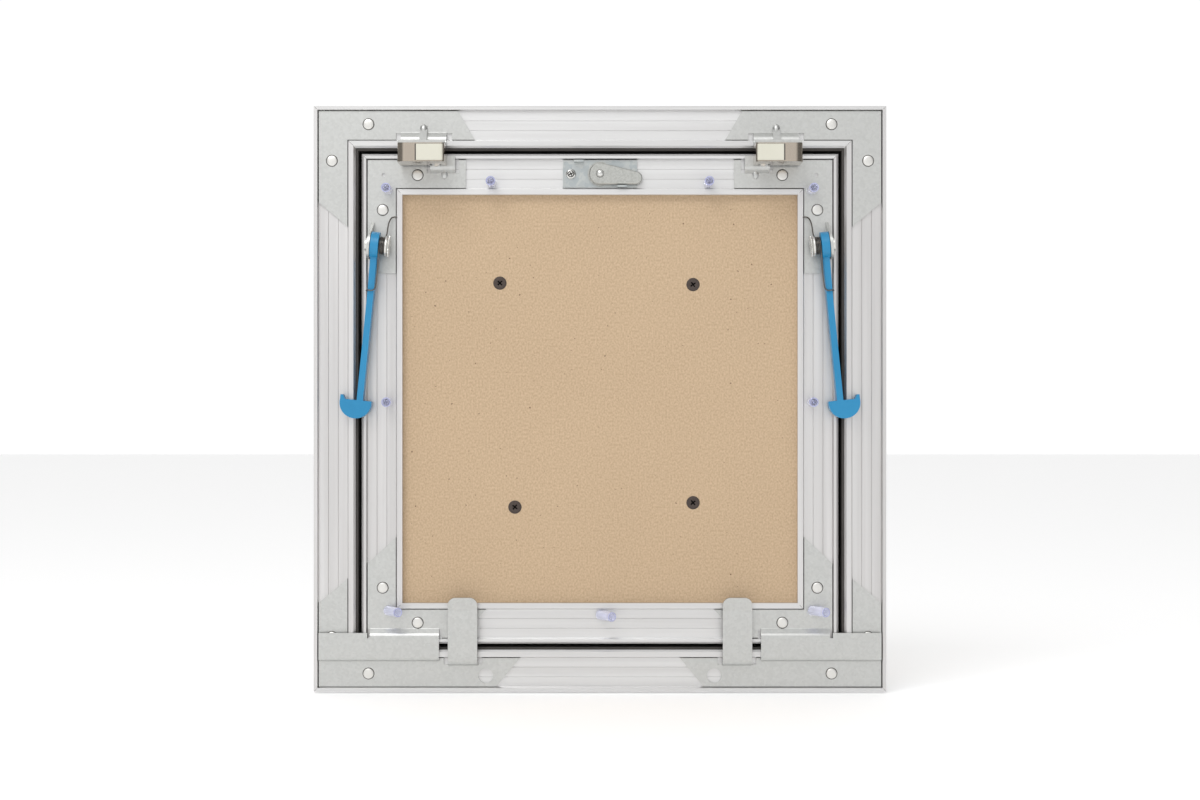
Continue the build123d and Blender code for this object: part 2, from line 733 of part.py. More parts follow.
with BuildPart() as lock_screws:
    rods(lock_screw_places, lock_screw_shank, lock_plate_top - lock_screw_length, lock_plate_top)
    rods(lock_screw_places, lock_screw_head, lock_plate_top, lock_plate_top + lock_screw_head_rise / 2)
    cones(lock_screw_places, lock_screw_head, lock_screw_head - lock_screw_head_rise,
          lock_plate_top + lock_screw_head_rise / 2, lock_plate_top + lock_screw_head_rise)
save(lock_screws, "lock_plate_screws")

with BuildPart() as lock_barrel:
    rods(lock_centre, rosette_diameter, -panel_depth - rosette_thickness, -panel_depth)
    rods(lock_centre, barrel_diameter, -panel_depth, metal)
    rods(lock_centre, spindle_diameter + 2 * running_fit,
         -panel_depth - rosette_thickness, metal, Mode.SUBTRACT)
save(lock_barrel, "lock_barrel")

with BuildPart() as lock_spindle:
    rods(lock_centre, spindle_diameter, -panel_depth, washer_top)
    rods(lock_centre, cam_rivet_neck, washer_top, lever_top)
    rods(lock_centre, cam_rivet_head, lever_top, lever_top + cam_rivet_rise)
    slab(-key_square / 2, key_square / 2, lock_height - key_square / 2, lock_height + key_square / 2,
         -panel_depth, -panel_depth + key_depth, Mode.SUBTRACT)
save(lock_spindle, "lock_spindle")

with BuildPart() as cam_washer:
    rods(lock_centre, cam_washer_diameter, lock_plate_top, washer_top)
    rods(lock_centre, spindle_diameter + 2 * running_fit, lock_plate_top, washer_top, Mode.SUBTRACT)
save(cam_washer, "cam_washer")

# The lever lies open, its lower edge level above the lower stop
lever_plane = Plane(origin=(0, -lever_rise, lock_height),
                    x_dir=(cos(open_lean), 0, -sin(open_lean)), z_dir=(0, -1, 0))
with BuildPart() as cam_lever:
    rods(lock_centre, cam_hub, washer_top, lever_rise)
    with BuildSketch(lever_plane):
        Circle(cam_hub / 2)
        with Locations((0, tip_reach)):
            Circle(cam_tip / 2)
        make_hull()
    extrude(amount=cam_thickness)
    chamfer(cam_lever.faces().sort_by(Axis.Y)[0].edges(), length=cam_edge)
    rods(lock_centre, cam_rivet_neck + 2 * pin_fit, washer_top, lever_top, Mode.SUBTRACT)
save(cam_lever, "cam_lever")

# Touch latches: body under the tab, cover, plunger and its spring, and the striker's pin
cover_high_x = latch_high_x - latch_sheet
slot_half = mouth_width / 2 + seat_gap
with BuildPart() as latch_body:
    with BuildSketch(Plane.XY.offset(latch_low_z)) as latch_plan:
        with Locations((-latch_centre, -latch_middle_rise)):
            Rectangle(latch_width, latch_depth)
        fillet(latch_plan.vertices().group_by(Axis.Y)[0].sort_by(Axis.X)[0], radius=latch_nose_corner)
        fillet(latch_plan.vertices().group_by(Axis.Y)[0].sort_by(Axis.X)[-1], radius=latch_edge_corner)
    extrude(amount=latch_height)
    offset(amount=-latch_sheet, openings=latch_body.faces().sort_by(Axis.Y)[-1])
    slab(-striker_pin_x - slot_half, -striker_pin_x + slot_half, latch_low_z - latch_sheet,
         latch_low_z + 2 * latch_sheet, 0, latch_front_rise + striker_slot_depth, Mode.SUBTRACT)
    slab(cover_high_x - cover_width, cover_high_x, latch_low_z + latch_sheet, latch_top_z - latch_sheet,
         latch_rear_rise - 2 * latch_sheet, latch_rear_rise + latch_sheet, Mode.SUBTRACT)
    with BuildSketch(Plane.XY.offset(latch_top_z)):
        with Locations((-latch_centre, -latch_middle_rise)):
            Rectangle(latch_foot_width, latch_foot_depth)
    extrude(amount=latch_foot_height)
    upright_rods(rivet_hole, latch_top_z - 2 * latch_sheet, latch_tab_z + metal, Mode.SUBTRACT)
save_pair(latch_body, "latch_body")

with BuildPart() as latch_cover:
    slab(cover_high_x - cover_width + seat_gap / 2, cover_high_x - seat_gap / 2,
         latch_low_z + latch_sheet + seat_gap / 2, latch_top_z - latch_sheet - seat_gap / 2,
         latch_rear_rise - cover_thickness, latch_rear_rise + cover_proud)
    fillet(latch_cover.edges().filter_by(Axis.Z).group_by(Axis.Y)[0].sort_by(Axis.X)[-1], radius=cover_corner)
    slab(cover_high_x - cover_width - cover_flange, cover_high_x - seat_gap / 2,
         latch_low_z + latch_sheet + seat_gap / 2, latch_top_z - latch_sheet - seat_gap / 2,
         latch_rear_rise - cover_thickness, latch_rear_rise - latch_sheet - seat_gap / 2)
save_pair(latch_cover, "latch_cover")

plunger_front = latch_front_rise + seat_gap
plunger_rear = plunger_front + plunger_depth
plunger_low_z = latch_low_z + latch_sheet + seat_gap
with BuildPart() as latch_plunger:
    slab(latch_low_x + latch_sheet + seat_gap, latch_high_x - latch_sheet - seat_gap,
         plunger_low_z, latch_top_z - latch_sheet - seat_gap, plunger_front, plunger_rear)
    slab(-striker_pin_x - mouth_width / 2, -striker_pin_x + mouth_width / 2,
         plunger_low_z - seat_gap, plunger_low_z + mouth_height,
         plunger_front, plunger_front + mouth_depth, Mode.SUBTRACT)
save_pair(latch_plunger, "latch_plunger")

spring_seat = latch_rear_rise - cover_thickness
latch_spring_run = spring_seat - plunger_rear - 2 * latch_spring_wire
latch_spring_z = (latch_low_z + latch_top_z) / 2
with BuildPart() as latch_spring:
    with BuildLine() as spring_line:
        Helix(latch_spring_run / latch_spring_turns, latch_spring_run,
              (latch_spring_diameter - latch_spring_wire) / 2,
              center=(-latch_centre, -plunger_rear - latch_spring_wire, latch_spring_z),
              direction=(0, -1, 0))
    with BuildSketch(Plane(origin=spring_line.line @ 0, z_dir=spring_line.line % 0)):
        RegularPolygon(latch_spring_wire / 2, 6)
    sweep(is_frenet=True)
save_pair(latch_spring, "latch_spring")

with BuildPart() as latch_rivets:
    upright_rods(rivet_shank, latch_top_z - latch_sheet, latch_tab_z + metal)
    upright_rods(rivet_head, latch_tab_z + metal, latch_tab_z + metal + rivet_head_rise)
    chamfer(latch_rivets.faces().group_by(Axis.Z)[-1].edges(), length=rivet_head_rise * 0.9)
save_pair(latch_rivets, "latch_rivets")

striker_top_rise = strip_front_rise + metal
with BuildPart() as striker:
    rods([(-striker_pin_x, striker_pin_z)], striker_pin, strip_front_rise, striker_top_rise)
    rods([(-striker_pin_x, striker_pin_z)], striker_pin_head,
         striker_top_rise, striker_top_rise + striker_pin_length - striker_pin / 2)
    cones([(-striker_pin_x, striker_pin_z)], striker_pin_head, striker_pin / 2,
          striker_top_rise + striker_pin_length - striker_pin / 2, striker_top_rise + striker_pin_length)
save_pair(striker, "latch_striker")

# Safety arms: hub, blade and a hook with a claw that catches behind the frame's lip
blade_front = arm_front_rise - arm_pivot_rise
blade_rear = blade_front + arm_blade_depth
hook_bottom = hook_drop + hook_height
hook_middle = (hook_inward - hook_outward) / 2
hook_plane = Plane(origin=Vector(-arm_pivot_x, -arm_front_rise, arm_pivot_z),
                   x_dir=pin_axis, z_dir=(0, -1, 0))
with BuildPart() as safety_arm:
    pin_rod(arm_hub, -arm_side, arm_side)
    with BuildSketch(across_pin(-arm_blade_width / 2)):
        with BuildLine():
            Polyline(
                (blade_front, 0),
                (blade_rear + arm_blade_depth / 2, 0),
                (blade_rear, spring_clip_drop),
                (blade_rear, hook_drop + metal),
                (blade_front, hook_drop + metal),
                close=True,
            )
        make_face()
    extrude(amount=arm_blade_width)
    with BuildSketch(hook_plane):
        with BuildLine():
            Polyline(
                (-arm_side, 0),
                (arm_side, 0),
                (arm_blade_width / 2, -spring_clip_drop),
                (-arm_blade_width / 2, -spring_clip_drop),
                close=True,
            )
        make_face()
    extrude(amount=arm_blade_depth)
    with BuildSketch(hook_plane):
        with BuildLine():
            Line((hook_inward, -hook_drop), (-hook_outward, -hook_drop))
            ThreePointArc((-hook_outward, -hook_drop), (hook_middle, -hook_bottom), (hook_inward, -hook_drop))
        make_face()
        with BuildLine():
            Polyline(
                (-hook_outward, -hook_drop - claw_height),
                (-hook_outward, -hook_drop + claw_height),
                (-hook_outward + claw_width / 2, -hook_drop + claw_height),
                (-hook_outward + claw_width, -hook_drop),
                (-hook_outward + claw_width, -hook_drop - claw_height),
                close=True,
            )
        make_face()
    extrude(amount=arm_blade_depth)
    pin_rod(arm_pin + 2 * running_fit, -arm_side, arm_side, Mode.SUBTRACT)
save_pair(safety_arm, "safety_arm")

coil_low = arm_side + seat_gap / 2
coil_high = coil_low + spring_room
with BuildPart() as arm_pin_piece:
    pin_rod(arm_pin_tail, arm_tab_low - arm_pin_tail_rise, arm_tab_low)
    pin_rod(arm_pin, arm_tab_low, coil_high)
    pin_rod(arm_pin_head, coil_high, coil_high + arm_pin_head_rise)
    head_edge = arm_pin_piece.faces().sort_by(Axis.X)[-1].edges()
    chamfer(head_edge, length=arm_pin_head_rise / 2)
save_pair(arm_pin_piece, "arm_pin")

# Torsion spring: coil round the pin, one leg on the leaf's lip and one clipped round the arm
coil_start = across_pin(coil_low + spring_wire / 2)
coil_run = spring_room - spring_wire
with BuildLine() as coil:
    Helix(coil_run / spring_turns, coil_run, spring_mean / 2, lefthand=True)
coil_line = coil_start * coil.line


def bars(points):
    """Spring wire that runs straight from point to point."""
    for start, end in zip(points, points[1:]):
        run = end - start
        with BuildSketch(Plane(origin=start, z_dir=run)) as section:
            RegularPolygon(spring_wire / 2, 6)
        extrude(section.sketch, amount=run.length)


clip_x = blade_rear + spring_wire
clip_outwards = -arm_blade_width / 2 - spring_wire - coil_low
clip_points = [
    coil_start.from_local_coords((clip_x, spring_clip_drop, 0)),
    coil_start.from_local_coords((clip_x, spring_clip_drop, clip_outwards)),
    coil_start.from_local_coords((clip_x - arm_blade_depth / 2, spring_clip_drop, clip_outwards)),
]
leg_bend = coil_start.from_local_coords((-arm_pin_head / 2, -arm_pin_head / 2 - spring_wire, coil_run))
anchor = Vector(-leaf_inner_x + spring_anchor_inset, -lip_rise - spring_wire / 2,
                arm_pivot_z + spring_anchor_up)
with BuildPart() as arm_spring:
    with BuildSketch(Plane(origin=coil_line @ 0, z_dir=coil_line % 0)):
        RegularPolygon(spring_wire / 2, 6)
    sweep(path=coil_line, is_frenet=True)
    bars([coil_line @ 0] + clip_points)
    bars([coil_line @ 1, leg_bend, anchor])
save_pair(arm_spring, "arm_spring")
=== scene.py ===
# %% [markdown]
# # Fire-rated access panel, seen from the side inside the wall
#
# The rigid pieces come from the imported model, which is loaded as a fixed frame.
# This notebook gives each of them the finish it has on the real panel, and models
# the small things that are better made as meshes: screw heads with their cross
# recesses, domed rivets and the twisted spring wires.
# All lengths are in metres, X runs to the right, Z up, and Y towards the room.

# %% Load the frame
from math import cos, pi, radians, sin

import bmesh
import bpy
from mathutils import Matrix, Vector


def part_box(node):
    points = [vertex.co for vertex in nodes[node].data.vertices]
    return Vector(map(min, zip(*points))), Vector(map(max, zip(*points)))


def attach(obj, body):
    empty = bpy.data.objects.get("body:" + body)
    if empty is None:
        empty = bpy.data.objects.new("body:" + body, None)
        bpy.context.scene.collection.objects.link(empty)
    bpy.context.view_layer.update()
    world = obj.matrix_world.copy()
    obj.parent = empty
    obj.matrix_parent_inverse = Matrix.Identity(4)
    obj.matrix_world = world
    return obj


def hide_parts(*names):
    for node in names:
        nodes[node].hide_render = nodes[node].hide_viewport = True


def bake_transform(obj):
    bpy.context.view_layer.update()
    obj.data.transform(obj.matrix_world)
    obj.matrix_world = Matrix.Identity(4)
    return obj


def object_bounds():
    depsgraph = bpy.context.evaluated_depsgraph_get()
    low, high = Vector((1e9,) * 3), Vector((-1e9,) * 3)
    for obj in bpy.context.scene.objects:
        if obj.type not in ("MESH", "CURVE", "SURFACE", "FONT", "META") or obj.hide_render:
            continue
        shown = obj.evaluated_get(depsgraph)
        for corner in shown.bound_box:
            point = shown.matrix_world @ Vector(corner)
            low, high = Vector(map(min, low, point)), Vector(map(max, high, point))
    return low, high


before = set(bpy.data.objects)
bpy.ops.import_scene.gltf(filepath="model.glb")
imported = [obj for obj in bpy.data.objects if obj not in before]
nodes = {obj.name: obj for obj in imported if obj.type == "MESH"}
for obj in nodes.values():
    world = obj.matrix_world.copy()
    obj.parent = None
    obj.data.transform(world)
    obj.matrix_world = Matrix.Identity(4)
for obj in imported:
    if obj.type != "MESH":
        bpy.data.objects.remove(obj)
cad_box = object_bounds()
mm = 0.001
print(len(nodes), "nodes loaded")

# %% [markdown]
# ## Finishes
#
# Each finish is a small node tree round one Principled shader. What is the same all
# over is set on the shader's own sockets. What varies, such as grain, spangle and
# wear, is noise that reads Object coordinates, so it stays on the piece in every
# pose. A helper makes the empty material and another one makes a noise texture,
# because every finish starts with those two steps.

# %% Helpers for node trees
def new_material(name, color, metallic, roughness):
    material = bpy.data.materials.new(name)
    material.use_nodes = True
    tree = material.node_tree
    shader = tree.nodes["Principled BSDF"]
    shader.inputs["Base Color"].default_value = (*color, 1)
    shader.inputs["Metallic"].default_value = metallic
    shader.inputs["Roughness"].default_value = roughness
    return material, tree, shader


def grain(tree, scale, stretch=(1, 1, 1), detail=4.0):
    """Noise on Object coordinates; a small stretch along an axis makes streaks along it."""
    place = tree.nodes.new("ShaderNodeTexCoord")
    turn = tree.nodes.new("ShaderNodeMapping")
    turn.inputs["Scale"].default_value = stretch
    noise = tree.nodes.new("ShaderNodeTexNoise")
    noise.inputs["Scale"].default_value = scale
    noise.inputs["Detail"].default_value = detail
    tree.links.new(place.outputs["Object"], turn.inputs["Vector"])
    tree.links.new(turn.outputs["Vector"], noise.inputs["Vector"])
    return noise.outputs["Fac"]


def spread(tree, value, low, high, from_low=0.3, from_high=0.7):
    """Stretch a noise value to the range between low and high."""
    node = tree.nodes.new("ShaderNodeMapRange")
    node.inputs["From Min"].default_value = from_low
    node.inputs["From Max"].default_value = from_high
    node.inputs["To Min"].default_value = low
    node.inputs["To Max"].default_value = high
    tree.links.new(value, node.inputs["Value"])
    return node.outputs["Result"]


def colors_between(tree, value, first, second):
    node = tree.nodes.new("ShaderNodeMix")
    node.data_type = "RGBA"
    node.inputs["A"].default_value = (*first, 1)
    node.inputs["B"].default_value = (*second, 1)
    tree.links.new(value, node.inputs["Factor"])
    return node.outputs["Result"]


def raise_surface(tree, shader, value, strength, distance):
    bump = tree.nodes.new("ShaderNodeBump")
    bump.inputs["Strength"].default_value = strength
    bump.inputs["Distance"].default_value = distance
    tree.links.new(value, bump.inputs["Height"])
    tree.links.new(bump.outputs["Normal"], shader.inputs["Normal"])


print("node helpers ready")

# %% [markdown]
# ### Aluminium and galvanised steel
#
# The rails are extruded aluminium with the mill's own finish: pale, satin, with die
# lines that run along the length. The lines are noise stretched along the rail, so
# a side rail and a top rail need a finish each. The side rails' finish is also given
# darker colours, which is painted shade on the same metal. The corner plates are
# pressed from galvanised sheet, a shade darker, with the faint flowers that zinc
# grows as it cools. Those are cells of a Voronoi pattern, each with its own tone.

# %% Metals of the frame
def aluminium_finish(name, stretch, dark, light):
    material, tree, shader = new_material(name, light, 1.0, 0.42)
    lines = grain(tree, 900, stretch, 3.0)
    bands = grain(tree, 170, stretch, 2.0)
    shade = colors_between(tree, spread(tree, bands, 0.0, 1.0), dark, light)
    tree.links.new(shade, shader.inputs["Base Color"])
    tree.links.new(spread(tree, lines, 0.34, 0.50), shader.inputs["Roughness"])
    raise_surface(tree, shader, lines, 0.12, 0.0002)
    return material


along_x = (0.02, 1, 1)
along_z = (1, 1, 0.02)
# Both rail finishes are one metal. The side rails get darker colours than the top and bottom rails, and that
# difference is painted shade.
aluminium_across = aluminium_finish("aluminium_top_and_bottom_rails", along_x, (0.66, 0.655, 0.651), (0.74, 0.738, 0.736))
aluminium_upright_painted_shade = aluminium_finish("aluminium_side_rails_painted_shade", along_z, (0.61, 0.598, 0.592), (0.71, 0.700, 0.695))


def galvanised_finish(name, dark, light, scale=750):
    material, tree, shader = new_material(name, light, 1.0, 0.4)
    place = tree.nodes.new("ShaderNodeTexCoord")
    flowers = tree.nodes.new("ShaderNodeTexVoronoi")
    flowers.inputs["Scale"].default_value = scale
    flowers.inputs["Randomness"].default_value = 1.0
    tree.links.new(place.outputs["Object"], flowers.inputs["Vector"])
    tone = tree.nodes.new("ShaderNodeSeparateColor")
    tree.links.new(flowers.outputs["Color"], tone.inputs["Color"])
    shade = colors_between(tree, spread(tree, tone.outputs["Red"], 0.0, 1.0, 0.0, 1.0), dark, light)
    tree.links.new(shade, shader.inputs["Base Color"])
    tree.links.new(spread(tree, tone.outputs["Green"], 0.37, 0.43, 0.0, 1.0), shader.inputs["Roughness"])
    raise_surface(tree, shader, grain(tree, 900), 0.10, 0.0001)
    return material


galvanised = galvanised_finish("galvanised_sheet", (0.548, 0.553, 0.538), (0.598, 0.603, 0.588))
print("metals:", aluminium_across.name, galvanised.name)

# %% [markdown]
# ### Small metal parts
#
# Rivets, pins and the lock are zinc plated and smoother than the sheet. The touch
# latches have a warmer nickel plate that mirrors its surroundings. The drywall
# screws are black phosphated, a dull coat with a slight sparkle.

# %% Plated and coated metals
def plated_finish(name, color, roughness, wear=0.08, scale=700):
    material, tree, shader = new_material(name, color, 1.0, roughness)
    marks = grain(tree, scale)
    tree.links.new(spread(tree, marks, roughness - wear / 2, roughness + wear), shader.inputs["Roughness"])
    raise_surface(tree, shader, marks, 0.06, 0.0002)
    return material


rivet_zinc = plated_finish("rivet_zinc", (0.76, 0.75, 0.72), 0.36)
lock_zinc = galvanised_finish("lock_zinc", (0.415, 0.45, 0.46), (0.52, 0.54, 0.53), 330)
cam_zinc = galvanised_finish("cam_zinc", (0.43, 0.435, 0.41), (0.52, 0.525, 0.50), 1300)
bright_zinc = plated_finish("bright_zinc", (0.72, 0.72, 0.70), 0.24)
latch_nickel = plated_finish("latch_nickel", (0.50, 0.44, 0.37), 0.13, 0.05)
spring_steel = plated_finish("spring_steel", (0.15, 0.14, 0.13), 0.30, 0.06, 1200)
black_phosphate = plated_finish("black_phosphate", (0.098, 0.080, 0.072), 0.50, 0.20, 1500)
# A darker copy of the black phosphate: painted shade for the inside of the cross recesses.
recess_painted_shade = plated_finish("recess_painted_shade", (0.020, 0.018, 0.017), 0.60, 0.10, 1500)
print("plated finishes ready")

# %% [markdown]
# ### Board, plastics and seals
#
# The board's face is kraft paper: short fibres in every direction, a few dark
# specks, and a soft cloudiness where the paper took up more or less of the core's
# water. The safety arms are moulded in blue nylon, the latch covers in cream
# plastic, and the tubes over the screw points are clear. Both seals are black and
# matt; the fire strip swells when it is hot and is full of graphite.

# %% Paper, plastics and rubber
def kraft_finish():
    material, tree, shader = new_material("kraft_paper", (0.54, 0.40, 0.26), 0.0, 0.9)
    fibres = grain(tree, 950, (1, 1, 0.8), 8.0)
    clouds = grain(tree, 14, (1, 1, 1), 5.0)
    base = colors_between(tree, spread(tree, clouds, 0.0, 1.0), (0.530, 0.392, 0.258), (0.570, 0.424, 0.280))
    fleck = colors_between(tree, spread(tree, fibres, 0.0, 1.0, 0.35, 0.65), (0.440, 0.315, 0.200), (0.660, 0.500, 0.340))
    mix = tree.nodes.new("ShaderNodeMix")
    mix.data_type = "RGBA"
    mix.inputs["Factor"].default_value = 0.55
    tree.links.new(base, mix.inputs["A"])
    tree.links.new(fleck, mix.inputs["B"])
    specks = grain(tree, 480, (1, 1, 1), 1.0)
    dark = tree.nodes.new("ShaderNodeMix")
    dark.data_type = "RGBA"
    dark.inputs["B"].default_value = (0.16, 0.10, 0.06, 1)
    tree.links.new(spread(tree, specks, 0.0, 1.0, 0.735, 0.80), dark.inputs["Factor"])
    tree.links.new(mix.outputs["Result"], dark.inputs["A"])
    tree.links.new(dark.outputs["Result"], shader.inputs["Base Color"])
    shader.inputs["Specular IOR Level"].default_value = 0.2
    raise_surface(tree, shader, fibres, 0.25, 0.0004)
    return material


def moulded_finish(name, first, second, roughness, scale=300, strength=0.08):
    material, tree, shader = new_material(name, first, 0.0, roughness)
    skin = grain(tree, scale)
    shade = colors_between(tree, spread(tree, grain(tree, 40), 0.0, 1.0), first, second)
    tree.links.new(shade, shader.inputs["Base Color"])
    tree.links.new(spread(tree, skin, roughness - 0.05, roughness + 0.06), shader.inputs["Roughness"])
    raise_surface(tree, shader, skin, strength, 0.0003)
    return material


def screw_finish():
    """Black up to the leaf's web, then pale blue-white inside the tube, a painted reflection of the tube's inner
    wall, with a dark point.
    """
    material, tree, shader = new_material("face_screw_steel", thread_painted_reflection, 0.25, 0.40)
    place = tree.nodes.new("ShaderNodeTexCoord")
    parts = tree.nodes.new("ShaderNodeSeparateXYZ")
    tree.links.new(place.outputs["Object"], parts.inputs["Vector"])
    depth = parts.outputs["Y"]
    painted_reflection = colors_between(tree, spread(tree, depth, 0.0, 1.0, 0.0, 1 * mm), thread_painted_reflection, dark_point)
    point = spread(tree, depth, 1.0, 0.0, -9.6 * mm, -8.6 * mm)
    whole = tree.nodes.new("ShaderNodeMix")
    whole.data_type = "RGBA"
    whole.inputs["B"].default_value = (*dark_point, 1)
    tree.links.new(point, whole.inputs["Factor"])
    tree.links.new(painted_reflection, whole.inputs["A"])
    tree.links.new(whole.outputs["Result"], shader.inputs["Base Color"])
    marks = grain(tree, 1200)
    tree.links.new(spread(tree, marks, 0.30, 0.50), shader.inputs["Roughness"])
    return material


# The pale blue-white is a painted reflection of the tube's wall, not a colour of the steel.
thread_painted_reflection, dark_point = (0.80, 0.80, 0.88), (0.05, 0.05, 0.055)
face_screw_steel = screw_finish()
kraft_paper = kraft_finish()
blue_nylon = moulded_finish("blue_nylon", (0.011, 0.225, 0.450), (0.016, 0.250, 0.490), 0.36)
cream_plastic = moulded_finish("cream_plastic", (0.66, 0.645, 0.545), (0.69, 0.675, 0.58), 0.42)
tube_rim_painted_light = moulded_finish("tube_rim_painted_light", (0.42, 0.44, 0.66), (0.50, 0.52, 0.72), 0.22)
# A dark matt material. It is the hairline of the mitre seams, and painted shade in the lock screws' recesses and in
# the rings round the rivets and the pin.
dark_seam_and_painted_shade = moulded_finish("dark_seam_and_painted_shade", (0.06, 0.055, 0.05), (0.09, 0.085, 0.08), 0.7)
black_plastic = moulded_finish("black_plastic", (0.018, 0.018, 0.018), (0.024, 0.024, 0.024), 0.5)
fire_strip = moulded_finish("graphite_strip", (0.040, 0.036, 0.033), (0.062, 0.056, 0.052), 0.8, 900, 0.4)
smoke_seal = moulded_finish("seal_rubber", (0.034, 0.030, 0.027), (0.050, 0.045, 0.040), 0.75, 700, 0.3)

clear_plastic, clear_tree, clear_shader = new_material("clear_plastic", (0.86, 0.87, 0.97), 0.0, 0.18)
clear_shader.inputs["Transmission Weight"].default_value = 0.55
clear_shader.inputs["IOR"].default_value = 1.38
# A faint lilac emission paints a glow into the tubes, which are no lamp.
clear_shader.inputs["Emission Color"].default_value = (0.80, 0.82, 1.0, 1)
clear_shader.inputs["Emission Strength"].default_value = 0.06
raise_surface(clear_tree, clear_shader, grain(clear_tree, 220), 0.08, 0.0002)
print("paper, plastics and rubber ready")

# %% Give the frame's nodes their finishes
def finish_of(name):
    if "_rail_" in name:
        return aluminium_across if name.endswith(("top", "bottom")) else aluminium_upright_painted_shade
    for start, finish in finishes:
        if name.startswith(start):
            return finish


finishes = [
    ("frame_plate_rivets", rivet_zinc),
    ("leaf_plate_rivets", rivet_zinc),
    ("frame_plate", galvanised),
    ("leaf_plate", galvanised),
    ("frame_fire", fire_strip),
    ("leaf_smoke", smoke_seal),
    ("rear_board", kraft_paper),
    ("front_board", kraft_paper),
    ("board_screws", black_phosphate),
    ("face_screws", face_screw_steel),
    ("screw_tip", clear_plastic),
    ("lock_plate", lock_zinc),
    ("lock_barrel", lock_zinc),
    ("lock_spindle", cam_zinc),
    ("cam_", cam_zinc),
    ("latch_body", latch_nickel),
    ("latch_rivets", rivet_zinc),
    ("latch_cover", cream_plastic),
    ("latch_plunger", black_plastic),
    ("latch_spring", spring_steel),
    ("latch_striker", rivet_zinc),
    ("arm_pin", rivet_zinc),
    ("arm_spring", spring_steel),
    ("safety_arm", blue_nylon),
]
for name, node in nodes.items():
    node.data.materials.clear()
    node.data.materials.append(finish_of(name))
print("finished", len(nodes), "nodes")

# %% [markdown]
# ## Modelling helpers
#
# The small pieces are modelled as by hand. A primitive is added at its size, shaped
# in edit mode, and finished with modifiers. Each screw or rivet is modelled once at
# the origin with its head up, then copied to its places, and the copies are joined
# to one piece. A place is an x and a z in millimetres and the angle of its recess.

# %% Helpers for modelling
def deselect():
    bpy.ops.object.select_all(action="DESELECT")


def make_active(piece):
    deselect()
    piece.select_set(True)
    bpy.context.view_layer.objects.active = piece


def edit(piece):
    make_active(piece)
    bpy.ops.object.mode_set(mode="EDIT")
    bpy.ops.mesh.select_mode(type="FACE")


def leave_edit():
    bpy.ops.object.mode_set(mode="OBJECT")


def pick_faces(piece, wanted):
    """Select the faces whose centre and normal pass the test."""
    mesh = bmesh.from_edit_mesh(piece.data)
    for face in mesh.faces:
        face.select_set(wanted(face.calc_center_median(), face.normal))
    bmesh.update_edit_mesh(piece.data)


def facing_up(centre, normal):
    return normal.z > 0.99


def facing_down(centre, normal):
    return normal.z < -0.99


def round_edges(piece, width, segments=3):
    soften = piece.modifiers.new("soften", "BEVEL")
    soften.width = width
    soften.segments = segments
    soften.limit_method = "ANGLE"
    soften.angle_limit = radians(40)
    make_active(piece)
    bpy.ops.object.modifier_apply(modifier=soften.name)


def smooth(piece, angle=35):
    make_active(piece)
    bpy.ops.object.shade_smooth_by_angle(angle=radians(angle))


def give(piece, *materials):
    piece.data.materials.clear()
    for material in materials:
        piece.data.materials.append(material)


def cylinder(radius, low, high, sides=40):
    deselect()
    bpy.ops.mesh.primitive_cylinder_add(vertices=sides, radius=radius, depth=high - low,
                                        location=(0, 0, (low + high) / 2))
    bpy.ops.object.transform_apply(location=True, rotation=True, scale=True)
    return bpy.context.object


def cone(low_radius, high_radius, low, high, sides=40):
    deselect()
    bpy.ops.mesh.primitive_cone_add(vertices=sides, radius1=low_radius, radius2=high_radius,
                                    depth=high - low, location=(0, 0, (low + high) / 2))
    bpy.ops.object.transform_apply(location=True, rotation=True, scale=True)
    return bpy.context.object


def dome(piece, radius, rise, steps):
    """Raise the piece's flat top to a dome by one inset after another."""
    edit(piece)
    pick_faces(piece, facing_up)
    last_radius, last_height = radius, 0
    for step in range(1, steps + 1):
        angle = 1.35 * step / steps
        next_radius, height = radius * cos(angle), rise * sin(angle)
        bpy.ops.mesh.inset(thickness=last_radius - next_radius, depth=height - last_height)
        last_radius, last_height = next_radius, height
    leave_edit()


def cut_cross(piece, top, length, width, depth):
    """Cut the cross recess of a screw with two tapered bars."""
    for turn in (0, pi / 2):
        deselect()
        bpy.ops.mesh.primitive_cube_add(size=1, location=(0, 0, top))
        bar = bpy.context.object
        bar.scale = (length, width, 2 * depth)
        bar.rotation_euler = (0, 0, turn)
        bpy.ops.object.transform_apply(location=True, rotation=True, scale=True)
        edit(bar)
        pick_faces(bar, facing_down)
        bpy.ops.transform.resize(value=(0.35, 0.35, 1), center_override=(0, 0, top - depth))
        leave_edit()
        cut = piece.modifiers.new("cut", "BOOLEAN")
        cut.operation = "DIFFERENCE"
        cut.solver = "EXACT"
        cut.object = bar
        make_active(piece)
        bpy.ops.object.modifier_apply(modifier=cut.name)
        bpy.data.objects.remove(bar)


def paint_recess(piece, top, reach, depth):
    """Give the walls of a recess, which lie inside its reach and under the top, the second material, a darker one
    that paints the shade in the recess.
    """
    for face in piece.data.polygons:
        centre = face.center
        inside = centre.to_2d().length < reach and top - depth - 0.1 * mm < centre.z < top - 0.05 * mm
        face.material_index = 1 if inside and abs(face.normal.z) < 0.98 or inside and centre.z < top - 0.5 * depth else 0


def join(parts, name):
    deselect()
    for part in parts:
        part.select_set(True)
    bpy.context.view_layer.objects.active = parts[0]
    if len(parts) > 1:
        bpy.ops.object.join()
    whole = bpy.context.object
    whole.name = name
    bpy.ops.object.transform_apply(location=True, rotation=True, scale=True)
    return whole


